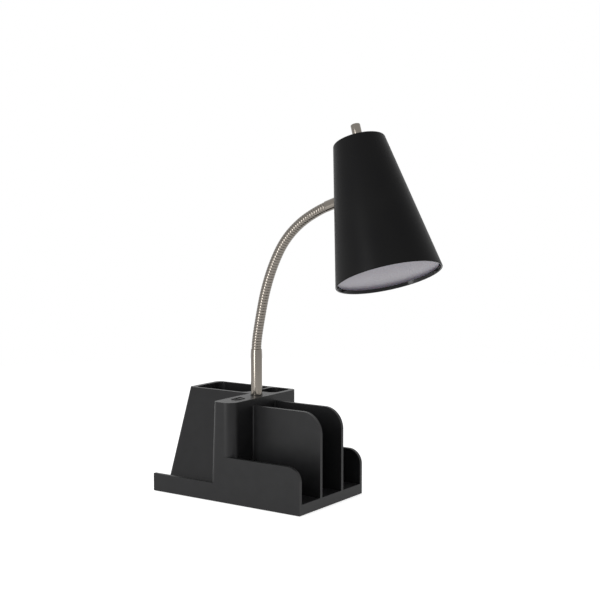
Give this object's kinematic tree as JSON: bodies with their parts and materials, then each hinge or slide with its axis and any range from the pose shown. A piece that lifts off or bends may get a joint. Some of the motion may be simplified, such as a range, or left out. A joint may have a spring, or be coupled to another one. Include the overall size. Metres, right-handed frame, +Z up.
{
  "type": "gooseneck desk organizer lamp",
  "caption": "Desk lamp with a cone shade on a gooseneck, over an organizer base with pen cup, clip tray, tablet ledge, file slots and a charging socket.",
  "frame": {"origin": "centre of the base's rectangle, at the level of the table", "axes": "+Z up, +X to the file slots' open ends and the shade, +Y to the rear wall"},
  "size_m": [0.348, 0.1347, 0.4272],
  "materials": {
    "black_housing": "satin",
    "black_plate": "matte",
    "foot_rubber": "matte",
    "screw_steel": "satin",
    "ballast_steel": "satin",
    "bush_rubber": "matte",
    "circuit_board": "satin",
    "transformer_case": "matte",
    "can_aluminium": "satin",
    "black_bezel": "satin",
    "socket_steel": "satin",
    "tongue_plastic": "satin",
    "plated_steel": "satin",
    "neck_nickel": "satin",
    "black_shade": "satin",
    "frosted_acrylic": "satin",
    "plate_aluminium": "satin",
    "white_board": "satin",
    "chip_phosphor": "satin",
    "white_reflector": "satin",
    "driver_case": "satin",
    "switch_plastic": "satin"
  },
  "bodies": {
    "organizer_base": {"organizer_housing": "black_housing", "bottom_plate": "black_plate", "rubber_feet": "foot_rubber", "bottom_screws": "screw_steel", "steel_ballast": "ballast_steel", "cord_bush": "bush_rubber", "power_board": "circuit_board", "transformer": "transformer_case", "capacitors": "can_aluminium", "power_board_screws": "screw_steel", "socket_bezel": "black_bezel", "socket_shell": "socket_steel", "socket_tongue": "tongue_plastic", "socket_board": "circuit_board", "socket_board_screws": "screw_steel", "neck_nipple": "plated_steel", "anchor_plate": "plated_steel", "neck_lock_washer": "plated_steel", "neck_nut": "plated_steel", "neck_collar": "black_bezel", "neck_sleeve": "neck_nickel", "hose_root": "neck_nickel"},
    "neck_stretch_1": {"hose_stretch_1": "neck_nickel"},
    "neck_stretch_2": {"hose_stretch_2": "neck_nickel"},
    "neck_stretch_3": {"hose_stretch_3": "neck_nickel"},
    "neck_stretch_4": {"hose_stretch_4": "neck_nickel"},
    "neck_stretch_5": {"hose_stretch_5": "neck_nickel"},
    "neck_stretch_6": {"hose_stretch_6": "neck_nickel"},
    "lamp_head": {"hose_tip": "neck_nickel", "hose_ferrule": "neck_nickel", "shade_washer": "plated_steel", "shade_nut": "plated_steel", "shade": "black_shade", "diffuser": "frosted_acrylic", "heat_plate": "plate_aluminium", "heat_plate_screws": "screw_steel", "led_board": "white_board", "led_chips": "chip_phosphor", "reflector": "white_reflector", "led_driver": "driver_case", "switch_body": "switch_plastic", "switch_ring_nut": "plated_steel"},
    "knob": {"switch_shaft": "plated_steel", "switch_knob": "neck_nickel", "knob_set_screw": "screw_steel"}
  },
  "joints": [
    {"name": "neck_bend_1", "type": "hinge", "parent": "organizer_base", "child": "neck_stretch_1", "pos_m": [-0.0025, 0.00245, 0.1776], "axis": [0, 1, 0], "range_deg": [-15, 10]},
    {"name": "neck_sway_1", "type": "hinge", "parent": "neck_stretch_1", "child": "neck_stretch_2", "pos_m": [0.00351, 0.00245, 0.20852], "axis": [-0.978, 0, 0.2088], "range_deg": [-15, 15]},
    {"name": "neck_bend_2", "type": "hinge", "parent": "neck_stretch_2", "child": "neck_stretch_3", "pos_m": [0.01065, 0.00245, 0.2392], "axis": [0, 1, 0], "range_deg": [-15, 10]},
    {"name": "neck_sway_2", "type": "hinge", "parent": "neck_stretch_3", "child": "neck_stretch_4", "pos_m": [0.02173, 0.00245, 0.26869], "axis": [-0.9074, 0, 0.4202], "range_deg": [-15, 15]},
    {"name": "neck_bend_3", "type": "hinge", "parent": "neck_stretch_4", "child": "neck_stretch_5", "pos_m": [0.03705, 0.00245, 0.29621], "axis": [0, 1, 0], "range_deg": [-15, 10]},
    {"name": "neck_sway_3", "type": "hinge", "parent": "neck_stretch_5", "child": "neck_stretch_6", "pos_m": [0.05979, 0.00245, 0.31801], "axis": [-0.5899, 0, 0.8075], "range_deg": [-15, 15]},
    {"name": "neck_bend_4", "type": "hinge", "parent": "neck_stretch_6", "child": "lamp_head", "pos_m": [0.08747, 0.00245, 0.33304], "axis": [0, 1, 0], "range_deg": [-15, 10]},
    {"name": "switch_turn", "type": "hinge", "parent": "lamp_head", "child": "knob", "pos_m": [0.13262, 0.01004, 0.40716], "axis": [-0.3323, 0.1374, 0.9331], "continuous": true}
  ],
  "couplings": [
    {"joint": "neck_bend_2", "follows": "neck_bend_1", "ratio": 1},
    {"joint": "neck_sway_2", "follows": "neck_sway_1", "ratio": 1},
    {"joint": "neck_bend_3", "follows": "neck_bend_1", "ratio": 1},
    {"joint": "neck_sway_3", "follows": "neck_sway_1", "ratio": 1},
    {"joint": "neck_bend_4", "follows": "neck_bend_1", "ratio": 1}
  ]
}
